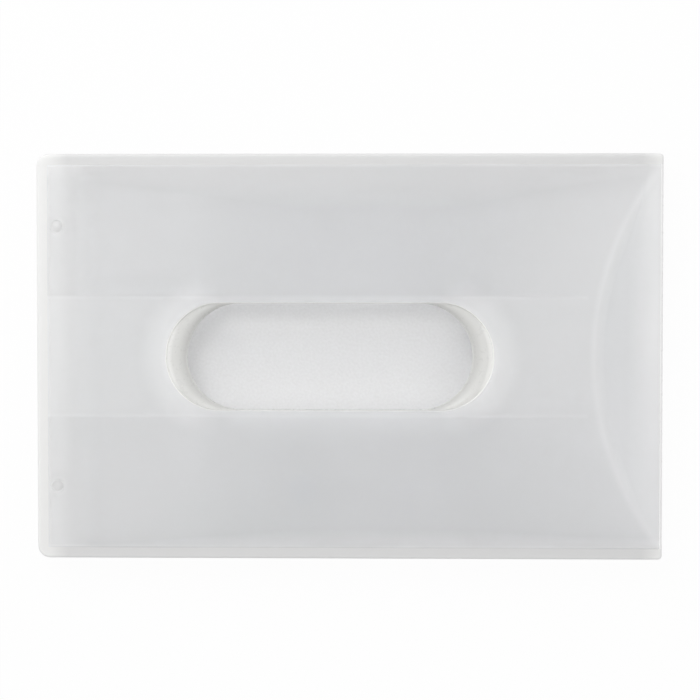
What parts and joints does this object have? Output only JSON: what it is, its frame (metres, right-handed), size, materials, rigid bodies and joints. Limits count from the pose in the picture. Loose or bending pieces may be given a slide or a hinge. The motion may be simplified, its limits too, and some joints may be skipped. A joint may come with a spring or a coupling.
{
  "type": "card holder",
  "caption": "Rigid frosted card sleeve of two moulded covers, closed at one end, with a long round-ended thumb slot in front and a crescent thumb notch in the rear mouth edge.",
  "frame": {"origin": "middle of the rear face, which the holder lies on", "axes": "+X along the holder from the closed end to the open mouth, +Y across it, +Z out of the front face with the thumb slot"},
  "size_m": [0.092, 0.0596, 0.0072],
  "materials": {
    "frosted_polypropylene": "frosted, light shows through, fine spark-eroded grain on the inner faces"
  },
  "bodies": {
    "rear": {"rear_cover": "frosted_polypropylene"},
    "front": {"front_cover": "frosted_polypropylene"}
  },
  "joints": [
    {"name": "front_cover_lift", "type": "slide", "parent": "rear", "child": "front", "axis": [0, 0, 1], "range_m": [0, 0.02]}
  ]
}
